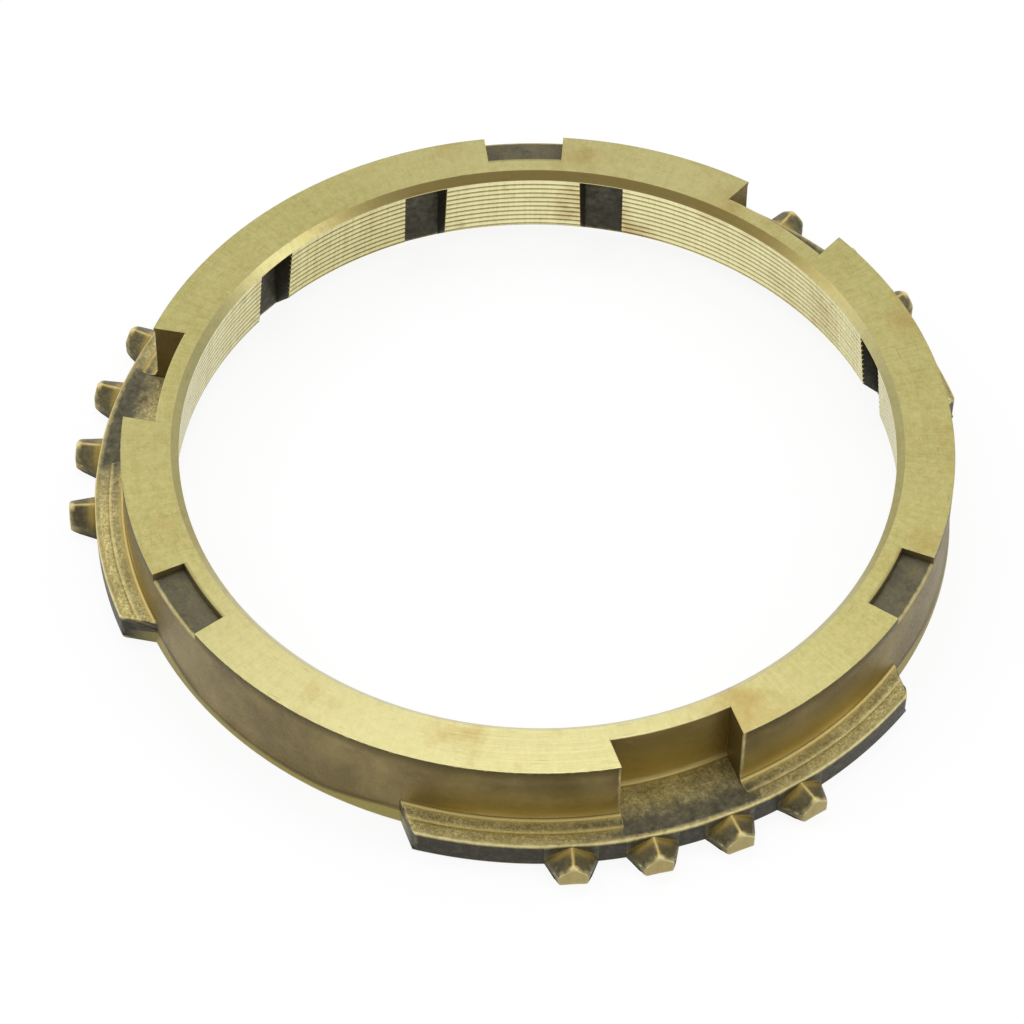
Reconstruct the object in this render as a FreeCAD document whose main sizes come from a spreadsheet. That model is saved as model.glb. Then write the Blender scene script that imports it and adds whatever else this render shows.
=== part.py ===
"""Synchronizer ring: a forged brass friction ring with a conical bore.

The axis is Z and the ring lies on its gear side, so the flat underside is at z = 0 and the
machined hub face is up. The first key slot points along +X. Every size is in millimetres or
degrees and is written once, in the sheet.
"""
import FreeCAD, Part
import math
import os
import Sketcher

NODE = "synchro_ring"

DIMENSIONS = [
    # Body of the ring
    ("ring_height", 10.4, "underside to hub face"),
    ("hub_face_radius", 41.0, "outer radius of the hub face"),
    ("wall_draft", 1.0, "draft of the forged outer wall, degrees"),
    ("flare_height", 1.9, "height of the flared foot of the wall"),
    ("flare_reach", 0.35, "how far the foot stands out"),
    ("foot_rounding", 0.4, "radius of the foot's lower edge"),
    # Friction bore
    ("ring_wall", 5.65, "hub face's edge in to the small end of the cone"),
    ("cone_half_angle", 6.5, "half angle of the friction cone, degrees"),
    ("mouth_chamfer", 0.75, "45 degree chamfer at the hub face"),
    ("relief_height", 2.2, "height of the bevel below the cone"),
    ("relief_reach", 2.0, "radial reach of that bevel"),
    # Key slots, and the shallow marks beside them
    ("sector_count", 3, "key slots, marks and toothed segments"),
    ("slot_back_depth", 3.25, "hub face's edge in to the back walls of slots and marks"),
    ("key_slot_width", 11.9, "distance between the parallel walls of a key slot"),
    ("key_slot_floor_drop", 0.1, "floor of a key slot below the top of its segment"),
    ("key_slot_fillet", 0.5, "radius along the foot of a key slot's back wall"),
    ("mark_depth", 0.8, "depth of a shallow mark in the hub face"),
    ("mark_span", 11.6, "angle across a mark, degrees"),
    ("mark_offset", 42.9, "angle from a key slot to the next mark, degrees"),
    # Oil slots along the cone
    ("oil_slots_per_sector", 3, "oil slots between one key slot and the next"),
    ("oil_slot_width", 4.5, "width of an oil slot where it opens into the bore"),
    ("oil_slot_root_width", 4.1, "width of an oil slot at its back wall"),
    ("oil_slot_land", 0.1, "top of an oil slot below the chamfer"),
    # Flange segments
    ("flange_reach", 3.1, "hub face's edge out to the outer face of a segment"),
    ("flange_width", 49.9, "distance between the parallel ends of a segment"),
    ("rim_height", 3.05, "top of a segment along its outer edge"),
    ("shelf_rise", 0.15, "how much higher a segment is where it meets the wall"),
    ("rim_width", 1.45, "flat width along that edge"),
    ("shelf_fillet", 0.5, "radius between wall and segment"),
    ("rim_chamfer", 0.2, "bevel of a segment's outer top edge"),
    ("underside_chamfer", 0.3, "bevel of its outer bottom edge"),
    ("end_rounding", 0.6, "radius between a segment's end and its outer face"),
    # Coupling teeth
    ("teeth_per_sector", 4, "teeth on one segment"),
    ("tooth_pitch", 10.0, "angle between teeth, degrees"),
    ("tooth_height", 2.55, "outer face of a segment out to the machined tips"),
    ("tooth_root_width", 5.1, "width where a tooth leaves the segment"),
    ("tooth_tip_width", 2.8, "width of the tip"),
    ("ridge_drop", 0.05, "ridge of a tooth below the rim of its segment"),
    ("tooth_lift", 0.4, "underside of a tooth above the underside of its segment"),
    ("roof_angle", 38.0, "slope of the two roof faces, degrees"),
    ("tooth_seat", 0.4, "how far a tooth reaches into the segment"),
    ("tooth_rounding", 0.3, "radius of a tooth's ridge and eaves"),
]

CONE_RADIUS = "(sizes.hub_face_radius - sizes.ring_wall)"
ROOT_RADIUS = "(sizes.hub_face_radius - sizes.slot_back_depth)"
FLANGE_RADIUS = "(sizes.hub_face_radius + sizes.flange_reach)"
TIP_RADIUS = f"({FLANGE_RADIUS} + sizes.tooth_height)"
SHELF_HEIGHT = "(sizes.rim_height + sizes.shelf_rise)"
KEY_SLOT_FLOOR = f"({SHELF_HEIGHT} - sizes.key_slot_floor_drop)"
WALL_FLARE_RADIUS = ("(sizes.hub_face_radius"
                     " + (sizes.ring_height - sizes.flare_height) * tan(sizes.wall_draft))")
FOOT_RADIUS = f"({WALL_FLARE_RADIUS} + sizes.flare_reach)"


def make_sheet(doc):
    """One row a size: its name, its value under that alias, and what it measures."""
    sheet = doc.addObject("Spreadsheet::Sheet", "sizes")
    for row, (alias, value, meaning) in enumerate(DIMENSIONS, start=1):
        sheet.set(f"A{row}", alias)
        sheet.set(f"B{row}", str(value))
        sheet.setAlias(f"B{row}", alias)
        sheet.set(f"C{row}", meaning)
    doc.recompute()


def origin_feature(body, role):
    return next(feature for feature in body.Origin.OriginFeatures if feature.Role == role)


def new_sketch(body, name, plane, distance=None, turn=None):
    """A sketch on an origin plane, moved along the plane's normal or turned about it."""
    sketch = body.newObject("Sketcher::SketchObject", name)
    sketch.AttachmentSupport = [(origin_feature(body, plane), "")]
    sketch.MapMode = "FlatFace"
    if distance:
        sketch.setExpression("AttachmentOffset.Base.z", distance)
    if turn:
        sketch.setExpression("AttachmentOffset.Rotation.Angle", turn)
    return sketch


def pin(sketch, kind, label, formula, *geometry):
    """A named constraint that follows a formula of the sheet's sizes."""
    constraint = Sketcher.Constraint(kind, *geometry, float(sketch.evalExpression(formula)))
    sketch.renameConstraint(sketch.addConstraint(constraint), label)
    sketch.setExpression(f"Constraints.{label}", formula)


def draw_outline(sketch, corners, arcs=None, rounded=None):
    """A closed outline through corners, each a name with formulas for across and up.

    An arc runs from the corner that it is listed under to the next one, about the origin and at
    the radius given, so its two ends need no formula for across. A rounded corner gets a tangent
    arc of the radius given.
    """
    arcs = arcs or {}
    rounded = rounded or {}
    names = [corner[0] for corner in corners]
    points = [FreeCAD.Vector(*[float(sketch.evalExpression(formula)) for formula in corner[1:]])
              for corner in corners]
    base = sketch.GeometryCount
    backwards = set()
    for index, name in enumerate(names):
        start, end = points[index], points[(index + 1) % len(points)]
        if name in arcs:
            angles = [math.atan2(point.y, point.x) for point in (start, end)]
            if angles[0] > angles[1]:
                backwards.add(index)
            circle = Part.Circle(FreeCAD.Vector(), FreeCAD.Vector(0, 0, 1), start.Length)
            sketch.addGeometry(Part.ArcOfCircle(circle, min(angles), max(angles)))
        else:
            sketch.addGeometry(Part.LineSegment(start, end))
    for index, (name, across, up) in enumerate(corners):
        after = (index + 1) % len(corners)
        leaving = 1 if index in backwards else 2
        entering = 2 if after in backwards else 1
        join = Sketcher.Constraint("Coincident", base + index, leaving, base + after, entering)
        sketch.addConstraint(join)
        own_end = 2 if index in backwards else 1
        if name not in arcs and names[index - 1] not in arcs:
            pin(sketch, "DistanceX", f"{name}_across", across, -1, 1, base + index, own_end)
        pin(sketch, "DistanceY", f"{name}_up", up, -1, 1, base + index, own_end)
        if name in arcs:
            sketch.addConstraint(Sketcher.Constraint("Coincident", base + index, 3, -1, 1))
            pin(sketch, "Radius", f"{name}_radius", arcs[name], base + index)
    for name, radius in rounded.items():
        corner = base + names.index(name)
        sketch.fillet(corner, 1, float(sketch.evalExpression(radius)), True, True)
        pin(sketch, "Radius", f"{name}_rounding", radius, sketch.GeometryCount - 2)


def revolve(body, name, sketch, angle=None):
    """A turned solid about Z, all round or over an angle shared by both sides of the sketch."""
    feature = body.newObject("PartDesign::Revolution", name)
    feature.Profile = sketch
    feature.ReferenceAxis = (origin_feature(body, "Z_Axis"), [""])
    feature.Angle = 360
    if angle:
        feature.Midplane = True
        feature.setExpression("Angle", angle)
    return feature


def cut(body, name, sketch, length, upwards=False):
    """A pocket from its sketch down into the metal, or up towards the hub face."""
    pocket = body.newObject("PartDesign::Pocket", name)
    pocket.Profile = sketch
    pocket.Reversed = upwards
    pocket.setExpression("Length", length)
    return pocket


def set_polar(body, pattern, count, angle):
    pattern.Axis = (origin_feature(body, "Z_Axis"), [""])
    pattern.setExpression("Angle", angle)
    pattern.setExpression("Occurrences", count)


def repeat_each_sector(body, name, features):
    """Copies of features in every sector of the ring."""
    pattern = body.newObject("PartDesign::PolarPattern", name)
    pattern.Originals = features
    set_polar(body, pattern, "sizes.sector_count", "360")
    body.Tip = pattern


def repeat_within_sectors(body, name, feature, count, pitch):
    """Copies of a feature at a pitch inside one sector, and all of them in every sector."""
    pattern = body.newObject("PartDesign::MultiTransform", name)
    pattern.Originals = [feature]
    row = body.newObject("PartDesign::PolarPattern", f"{name}_in_sector")
    set_polar(body, row, count, f"{pitch} * ({count} - 1)")
    rows = body.newObject("PartDesign::PolarPattern", f"{name}_all_round")
    set_polar(body, rows, "sizes.sector_count", "360")
    pattern.Transformations = [row, rows]
    body.Tip = pattern


def make_ring(body):
    """The plain ring: drafted wall with a flared foot, friction cone, chamfer and bevel."""
    section = new_sketch(body, "ring_section", "XZ_Plane")
    cone_height = "(sizes.ring_height - sizes.mouth_chamfer - sizes.relief_height)"
    cone_end = f"{CONE_RADIUS} + {cone_height} * tan(sizes.cone_half_angle)"
    draw_outline(section, [
        ("mouth", f"{CONE_RADIUS} + sizes.mouth_chamfer", "sizes.ring_height"),
        ("cone_top", CONE_RADIUS, "sizes.ring_height - sizes.mouth_chamfer"),
        ("cone_end", cone_end, "sizes.relief_height"),
        ("relief", f"{cone_end} + sizes.relief_reach", "0"),
        ("foot", FOOT_RADIUS, "0"),
        ("flare", WALL_FLARE_RADIUS, "sizes.flare_height"),
        ("shoulder", "sizes.hub_face_radius", "sizes.ring_height"),
    ], rounded={"foot": "sizes.foot_rounding"})
    revolve(body, "ring", section)


def make_segments(body):
    """Flange segments: a shelf that falls to a flat rim, between ends parallel to the key slot.

    Each is turned over the angle that it fills at the wall's foot, and the wedge that this leaves
    beyond each parallel end is trimmed off.
    """
    section = new_sketch(body, "segment_section", "XZ_Plane")
    inside = "(sizes.hub_face_radius - sizes.shelf_fillet)"
    wall = f"(sizes.hub_face_radius + (sizes.ring_height - {SHELF_HEIGHT}) * tan(sizes.wall_draft))"
    draw_outline(section, [
        ("inner_low", inside, "0"),
        ("outer_low", f"{FLANGE_RADIUS} - sizes.underside_chamfer", "0"),
        ("outer_edge", FLANGE_RADIUS, "sizes.underside_chamfer"),
        ("rim_edge", FLANGE_RADIUS, "sizes.rim_height - sizes.rim_chamfer"),
        ("rim", f"{FLANGE_RADIUS} - sizes.rim_chamfer", "sizes.rim_height"),
        ("rim_inner", f"{FLANGE_RADIUS} - sizes.rim_width", "sizes.rim_height"),
        ("shelf", wall, SHELF_HEIGHT),
        ("inner_high", inside, f"{SHELF_HEIGHT} + 4 * sizes.shelf_fillet"),
    ], rounded={"shelf": "sizes.shelf_fillet"})
    foot_angle = f"asin(sizes.flange_width / 2 / {FOOT_RADIUS})"
    rim_angle = f"asin(sizes.flange_width / 2 / {FLANGE_RADIUS})"
    segment = revolve(body, "segment", section, f"2 * {foot_angle}")

    trimming = new_sketch(body, "segment_ends", "XY_Plane")
    foot_x = f"{FOOT_RADIUS} * cos({foot_angle})"
    rim_x = f"{FLANGE_RADIUS} * cos({rim_angle})"
    end = "sizes.flange_width / 2"
    reach = "sizes.flange_reach * 3"
    for side, sign in (("left", 1), ("right", -1)):
        draw_outline(trimming, [
            (f"{side}_foot", foot_x, f"{sign} * {end}"),
            (f"{side}_rim", rim_x, f"{sign} * {end}"),
            (f"{side}_near", f"{rim_x} + {reach} * sin({rim_angle})",
             f"{sign} * ({end} - {reach} * cos({rim_angle}))"),
            (f"{side}_far", f"{rim_x} + 2 * {reach}", f"{sign} * ({end} + {reach})"),
            (f"{side}_back", f"{foot_x} - {reach} * sin({foot_angle})",
             f"{sign} * ({end} + {reach} * cos({foot_angle}))"),
        ], rounded={f"{side}_rim": "sizes.end_rounding"})
    ends = cut(body, "segment_end_cuts", trimming, "sizes.ring_height", upwards=True)
    repeat_each_sector(body, "segments", [segment, ends])


def make_key_slots(body):
    """Slots for the shift keys, open to the outside and to the hub face."""
    plan = new_sketch(body, "key_slot_plan", "XY_Plane", distance="sizes.ring_height")
    half = "sizes.key_slot_width / 2"
    draw_outline(plan, [
        ("back_right", ROOT_RADIUS, f"-{half}"),
        ("open_right", TIP_RADIUS, f"-{half}"),
        ("open_left", TIP_RADIUS, half),
        ("back_left", ROOT_RADIUS, half),
    ], arcs={"back_left": ROOT_RADIUS})
    slot = cut(body, "key_slot", plan, f"sizes.ring_height - {KEY_SLOT_FLOOR}")
    repeat_each_sector(body, "key_slots", [slot])


def round_key_slots(body):
    """A fillet along the foot of every key slot's back wall."""
    body.Document.recompute()
    slots = body.Tip
    floor = float(slots.evalExpression(KEY_SLOT_FLOOR))
    root_radius = float(slots.evalExpression(ROOT_RADIUS))
    feet = []
    for number, edge in enumerate(slots.Shape.Edges, start=1):
        middle = edge.valueAt((edge.FirstParameter + edge.LastParameter) / 2)
        on_wall = math.isclose(math.hypot(middle.x, middle.y), root_radius, abs_tol=1e-6)
        if on_wall and math.isclose(middle.z, floor, abs_tol=1e-6):
            feet.append(f"Edge{number}")
    fillet = body.newObject("PartDesign::Fillet", "key_slot_fillets")
    fillet.Base = (slots, feet)
    fillet.setExpression("Radius", "sizes.key_slot_fillet")


def make_marks(body):
    """Shallow marks in the hub face with radial sides, open to the outside."""
    plan = new_sketch(body, "mark_plan", "XY_Plane", distance="sizes.ring_height",
                      turn="sizes.mark_offset")
    half = "(sizes.mark_span / 2)"
    draw_outline(plan, [
        ("back_first", f"{ROOT_RADIUS} * cos({half})", f"-{ROOT_RADIUS} * sin({half})"),
        ("open_first", f"{FLANGE_RADIUS} * cos({half})", f"-{FLANGE_RADIUS} * sin({half})"),
        ("open_last", f"{FLANGE_RADIUS} * cos({half})", f"{FLANGE_RADIUS} * sin({half})"),
        ("back_last", f"{ROOT_RADIUS} * cos({half})", f"{ROOT_RADIUS} * sin({half})"),
    ], arcs={"back_last": ROOT_RADIUS})
    mark = cut(body, "mark", plan, "sizes.mark_depth")
    repeat_each_sector(body, "marks", [mark])


def make_oil_slots(body):
    """Slots along the cone that narrow to a flat back, open below and roofed under the hub face."""
    pitch = "(360 / sizes.sector_count / (sizes.oil_slots_per_sector + 1))"
    plan = new_sketch(body, "oil_slot_plan", "XY_Plane", turn=pitch)
    inner = f"(2 * {CONE_RADIUS} - {ROOT_RADIUS})"
    inner_half = "(sizes.oil_slot_width - sizes.oil_slot_root_width / 2)"
    root_half = "(sizes.oil_slot_root_width / 2)"
    draw_outline(plan, [
        ("inner_right", inner, f"-{inner_half}"),
        ("root_right", ROOT_RADIUS, f"-{root_half}"),
        ("root_left", ROOT_RADIUS, root_half),
        ("inner_left", inner, inner_half),
    ])
    height = "sizes.ring_height - sizes.mouth_chamfer - sizes.oil_slot_land"
    slot = cut(body, "oil_slot", plan, height, upwards=True)
    repeat_within_sectors(body, "oil_slots", slot, "sizes.oil_slots_per_sector", pitch)


def draw_tooth_section(body, name, distance, width):
    """A house-shaped section across the first tooth of a row, at a distance from the axis."""
    first = "(-sizes.tooth_pitch * (sizes.teeth_per_sector - 1) / 2)"
    section = new_sketch(body, name, "YZ_Plane", distance=f"{distance} * cos({first})")
    about_z = FreeCAD.Rotation(FreeCAD.Vector(0, 1, 0), 1)
    section.AttachmentOffset = FreeCAD.Placement(section.AttachmentOffset.Base, about_z)
    section.setExpression("AttachmentOffset.Base.x", f"{distance} * sin({first})")
    section.setExpression("AttachmentOffset.Rotation.Angle", first)
    ridge = "sizes.rim_height - sizes.ridge_drop"
    eaves = f"{ridge} - {width} / 2 * tan(sizes.roof_angle)"
    soft_corners = ("eave_right", "ridge", "eave_left")
    draw_outline(section, [
        ("low_left", f"-{width} / 2", "sizes.tooth_lift"),
        ("low_right", f"{width} / 2", "sizes.tooth_lift"),
        ("eave_right", f"{width} / 2", eaves),
        ("ridge", "0", ridge),
        ("eave_left", f"-{width} / 2", eaves),
    ], rounded={corner: "sizes.tooth_rounding" for corner in soft_corners})
    return section


def make_teeth(body):
    """Radial teeth with roof-shaped tops, tapering from the segment to a flat machined tip."""
    taper = "(sizes.tooth_root_width - sizes.tooth_tip_width) / sizes.tooth_height"
    seat_distance = f"({FLANGE_RADIUS} - sizes.tooth_seat)"
    seat_width = f"(sizes.tooth_root_width + {taper} * sizes.tooth_seat)"
    tooth = body.newObject("PartDesign::AdditiveLoft", "tooth")
    tooth.Profile = draw_tooth_section(body, "tooth_seat_section", seat_distance, seat_width)
    tip = draw_tooth_section(body, "tooth_tip_section", TIP_RADIUS, "sizes.tooth_tip_width")
    tooth.Sections = [tip]
    tooth.Ruled = True
    repeat_within_sectors(body, "teeth", tooth, "sizes.teeth_per_sector", "sizes.tooth_pitch")


def sound_volume(doc, body):
    """Volume of the body, once every object is found sound and the body one valid solid."""
    doc.recompute()
    failed = [item.Name for item in doc.Objects if {"Invalid", "Error"} & set(item.State)]
    if failed:
        raise RuntimeError("failed: " + ", ".join(failed))
    shape = body.Shape
    if shape.isNull() or not shape.isValid() or len(shape.Solids) != 1:
        raise RuntimeError("the ring is not one valid solid")
    return shape.Volume


def main():
    doc = FreeCAD.newDocument("synchronizer_ring")
    make_sheet(doc)
    body = doc.addObject("PartDesign::Body", NODE)
    body.Label = NODE
    volume = 0.0
    for make, adds in (
        (make_ring, True),
        (make_segments, True),
        (make_key_slots, False),
        (round_key_slots, True),
        (make_marks, False),
        (make_oil_slots, False),
        (make_teeth, True),
    ):
        make(body)
        before = volume
        volume = sound_volume(doc, body)
        if (volume > before) != adds:
            raise RuntimeError(f"{make.__name__} left the metal as it was")
    os.makedirs("parts", exist_ok=True)
    body.Shape.exportStep(f"parts/{body.Label}.step")
    print(f"{body.Label}: {volume:.1f} cubic millimetres, {len(body.Shape.Faces)} faces")


main()
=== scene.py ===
"""Looks of a forged brass synchronizer ring, in one piece that stands for its solid.

The ring's skin is a closed grid: columns run round the ring and rows run round its section, from
the bore's mouth down the friction cone, out under the ring, up the flange and the wall, and back
over the hub face. Sizes are in millimetres and degrees until the grid becomes a mesh in metres.
"""
import math

import bpy
import numpy as np
from mathutils import Matrix

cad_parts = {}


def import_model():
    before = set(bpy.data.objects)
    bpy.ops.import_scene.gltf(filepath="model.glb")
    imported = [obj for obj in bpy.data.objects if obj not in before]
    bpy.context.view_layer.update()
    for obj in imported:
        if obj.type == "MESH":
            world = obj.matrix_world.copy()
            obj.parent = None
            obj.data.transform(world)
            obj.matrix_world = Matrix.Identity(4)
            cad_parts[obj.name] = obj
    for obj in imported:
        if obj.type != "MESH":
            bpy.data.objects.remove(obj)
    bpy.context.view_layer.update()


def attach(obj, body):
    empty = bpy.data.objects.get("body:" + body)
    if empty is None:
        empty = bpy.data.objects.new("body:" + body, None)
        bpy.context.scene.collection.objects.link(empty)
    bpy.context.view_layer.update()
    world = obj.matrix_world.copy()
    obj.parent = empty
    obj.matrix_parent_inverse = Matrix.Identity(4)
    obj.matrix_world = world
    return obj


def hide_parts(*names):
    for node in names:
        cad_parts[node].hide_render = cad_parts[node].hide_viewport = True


MM = 0.001
NODE = "synchro_ring"
SECTORS = 3
SECTOR = 360 / SECTORS
SECTOR_START = -45.0

# Section of the ring
RING_HEIGHT = 10.4
HUB_RADIUS = 41.0
WALL_SLOPE = math.tan(math.radians(1.0))
FLARE_HEIGHT = 1.9
FLARE_REACH = 0.35
CONE_RADIUS = 35.35
CONE_SLOPE = math.tan(math.radians(6.5))
CHAMFER = 0.75
RELIEF_HEIGHT = 2.2
RELIEF_REACH = 2.0
ROOT_RADIUS = 37.75

# Thread of the friction cone
THREAD_TOP = 9.5
THREAD_TURNS = 10
THREAD_DEPTH = 0.33
THREAD_LAND = 0.6

# Key slots, marks and oil slots
KEY_HALF_WIDTH = 5.95
KEY_FLOOR = 3.1
KEY_FILLET = 0.5
KEY_EDGE_ROUNDING = 0.25
MARK_FLOOR = 9.6
MARK_CENTRE = 42.9
MARK_SPAN = 11.6
OIL_CENTRES = (-30.0, 30.0, 60.0)
OIL_HALF_WIDTH = 2.25
OIL_ROOT_HALF_WIDTH = 2.05
OIL_TOP = 9.55

# Flange segments and teeth
FLANGE_RADIUS = 44.1
FLANGE_HALF_WIDTH = 24.95
RIM_HEIGHT = 3.05
RIM_WIDTH = 1.45
RIM_BEVEL = 0.2
SHELF_STEP = 0.05
SHELF_RISE = 0.15
SHELF_FILLET = 0.5
END_ROUNDING = 0.6
TOOTH_CENTRES = (-15.0, -5.0, 5.0, 15.0)
TOOTH_LIFT = 0.4
TOOTH_ROOT_HALF = 2.55
TOOTH_TIP_HALF = 1.4
TIP_RADIUS = 46.65
RIDGE_HEIGHT = 3.0
RIDGE_SOFTNESS = 0.22
ROOF_SLOPE = math.tan(math.radians(38.0))
EAVE_ROUNDING = 0.45
TIP_ROUNDING = 0.25

# Radii at which the walls that aren't radial stand on their columns; elsewhere the columns lean
KEY_MEETS = 39.0
END_MEETS = 42.0
OIL_MEETS = 35.5

# Angles from the middle of a feature at which the columns stand straight again
KEY_STRAIGHT = 13.0
OIL_STRAIGHT = 7.0
END_STRAIGHT_INSIDE = 30.0
END_STRAIGHT_OUTSIDE = 42.0

# Half the gap between the two columns that carry a wall, in degrees
WALL_GAP = 0.02
TOOTH_GAP = 0.015
END_GAP = 0.03

# Rows of the parts of the section; a tooth takes the rows of the outer face, and lifts its last ones
MOUTH_ROWS = 2
RELIEF_ROWS = 4
UNDER_ROWS = 5
TOOTH_UNDER_ROWS = 3
TOOTH_TIP_ROWS = 5
TOOTH_ROOF_ROWS = 7
LIFTED_ROWS = 3
BEVEL_ROWS = 3
SHELF_ROWS = 3
FILLET_ROWS = 6
WALL_ROWS = 7
SHOULDER_ROWS = 3
HUB_ROWS = 8

# Materials of the ring's faces, in the order of its slots
TURNED, THREAD, SKIN, TIP = range(4)

# Kinds of side walls that stand between two columns
KEY_SIDE, MARK_SIDE, OIL_SIDE = 1, 2, 3

# Masks on the side walls of a key slot, a mark and an oil slot; their dark values are painted shade on the
# walls, darkest in the oil slots
SIDE_WALL_SHADE_AND_FINISH = {
    "wear": (0.0, 0.0, 0.0),
    "soot_and_shade": (0.16, 0.55, 1.0),
    "grime_and_shadow": (0.3, 0.2, 0.0),
    "paler_foot_strip": (0.0, 0.0, 0.0),
    "polish_and_highlight": (0.08, 0.1, 0.0),
    "speckle_and_glints": (0.1, 0.0, 0.0),
}

# Sides of the ring toward which painted highlights make the hub face palest and the thread brightest
PALE_AZIMUTH = -28.0
BRIGHT_THREAD_AZIMUTH = 146.0

# Films and wear on machined brass, and two painted shades: amber on one side of the chamfer and a dark
# brown in the thread's grooves
BRASS_FILMS_AND_SHADES = {
    "spots": (0.60, 0.45, 0.22, 1),
    "rust": (0.42, 0.27, 0.075, 1),
    # the amber below is painted shade on the side of the chamfer away from the painted highlight
    "amber_shade": (0.36, 0.245, 0.045, 1),
    "scratches": (0.16, 0.11, 0.04, 1),
    "worn": (0.85, 0.80, 0.50, 1),
    # the dark colour below is painted shade in the thread's grooves
    "soot_and_shade": (0.13, 0.09, 0.025, 1),
}

# Colours of the forged skin, each from dark to light where it varies
SKIN_COLOURS = {
    "brown": ((0.182, 0.137, 0.053, 1), (0.285, 0.222, 0.088, 1)),
    # bright grain, up to near white, painted as glints
    "grains": ((0.50, 0.395, 0.135, 1), (1.0, 0.91, 0.46, 1)),
    # slate and black: dark scale, and painted shade in sheltered places
    "slate": ((0.080, 0.074, 0.050, 1), (0.170, 0.152, 0.094, 1)),
    "black": ((0.012, 0.011, 0.006, 1), (0.036, 0.033, 0.018, 1)),
    # gold to cream: rubbed metal, and painted highlights and reflections
    "gold": ((0.57, 0.415, 0.105, 1), (0.92, 0.83, 0.46, 1)),
    # painted shade in concave places
    "hollow_shade": (0.03, 0.022, 0.010, 1),
    # dark brown: a tone, the painted shadow under the hub's edge and shade on slot side walls
    "grime_and_shadow": (0.075, 0.058, 0.018, 1),
    # colour of the paler strip along the wall's foot
    "paler_foot_strip": (0.34, 0.29, 0.095, 1),
    "worn": (0.80, 0.70, 0.34, 1),
}

# Camera, from the ring's axis at the height of the hub face
CAMERA_AZIMUTH = -19.409
CAMERA_ELEVATION = 50.681
CAMERA_ROLL = 0.584
CAMERA_DISTANCE = 371.05
CAMERA_RIGHT = 2.555
CAMERA_DOWN = -7.794
CAMERA_LENS = 132.53

# Room and lamps: azimuth, elevation, size and power of each softbox
BRIGHTEST_ELEVATION = 62
LAMP_DISTANCE = 0.9
SOFTBOXES = {
    "softbox behind": (CAMERA_AZIMUTH + 180, 71, (0.35, 0.25), 1.0),
    "softbox left": (-120, 40, (0.4, 0.4), 1.1),
    "softbox right": (60, 35, (0.4, 0.4), 0.9),
}
FLOOR_HALF = 1.5


def wall_angle(half_width, radius):
    """Angle at which a plane beside the axis, half_width away, meets a radius."""
    return np.degrees(np.arcsin(half_width / radius))


KEY_WALL = float(wall_angle(KEY_HALF_WIDTH, KEY_MEETS))
END_WALL = float(wall_angle(FLANGE_HALF_WIDTH, END_MEETS))
OIL_WALL = float(wall_angle(OIL_HALF_WIDTH, OIL_MEETS))
TOOTH_WALL = float(wall_angle(TOOTH_ROOT_HALF, FLANGE_RADIUS))
MARK_WALLS = (MARK_CENTRE - MARK_SPAN / 2, MARK_CENTRE + MARK_SPAN / 2)


def sector_columns():
    """Angles of the columns of one sector: close on both sides of each wall, even between.

    The close ones are set in degrees from a wall, and across a tooth in shares of its half width.
    """
    walls = [-KEY_WALL, KEY_WALL, *MARK_WALLS]
    walls += [centre + side * OIL_WALL for centre in OIL_CENTRES for side in (-1, 1)]
    beside = np.array([-0.6, -0.3, -0.12, -WALL_GAP, WALL_GAP, 0.12, 0.3, 0.6])
    beside_end = np.array([-0.75, -0.45, -0.22, -0.08, -END_GAP, END_GAP, 0.2, 0.6])
    across = np.array([0, 0.05, 0.12, 0.25, 0.4, 0.56, 0.7, 0.8, 0.88, 0.94, 0.98, 1.0])
    across = np.concatenate([-across[:0:-1], across]) * TOOTH_WALL
    outside = TOOTH_WALL + 2 * TOOTH_GAP + np.array([0, 0.17])
    tooth = np.concatenate([-outside[::-1], across, outside])
    close = [wall + beside for wall in walls]
    close += [side * END_WALL + side * beside_end for side in (-1, 1)]
    close += [centre + tooth for centre in TOOTH_CENTRES]
    close = np.sort(np.concatenate(close))
    even = np.arange(SECTOR_START, SECTOR_START + SECTOR, 0.62)
    free = np.abs(even[:, None] - close[None, :]).min(axis=1) > 0.25
    return np.sort(np.concatenate([close, even[free]]))


def presence(angle, spans, gap):
    """One inside each span of angles and zero outside, with a step two gaps wide at each end."""
    total = np.zeros_like(angle)
    for low, high in spans:
        total += np.interp(angle, [low - gap, low + gap, high - gap, high + gap], [0, 1, 1, 0])
    return total


def spans_about(centres, reach):
    return [(centre - reach, centre + reach) for centre in centres]


class Columns:
    """Columns of one sector: their angles, and how far each lies inside each feature."""

    def __init__(self):
        self.angle = sector_columns()
        self.key = presence(self.angle, spans_about([0], KEY_WALL), WALL_GAP)
        self.mark = presence(self.angle, [MARK_WALLS], WALL_GAP)
        self.oil = presence(self.angle, spans_about(OIL_CENTRES, OIL_WALL), WALL_GAP)
        self.flange = presence(self.angle, spans_about([0], END_WALL), END_GAP)
        self.tooth = presence(self.angle, spans_about(TOOTH_CENTRES, TOOTH_WALL + TOOTH_GAP), TOOTH_GAP)
        self.shelf = self.flange * (1 - self.key)


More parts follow.
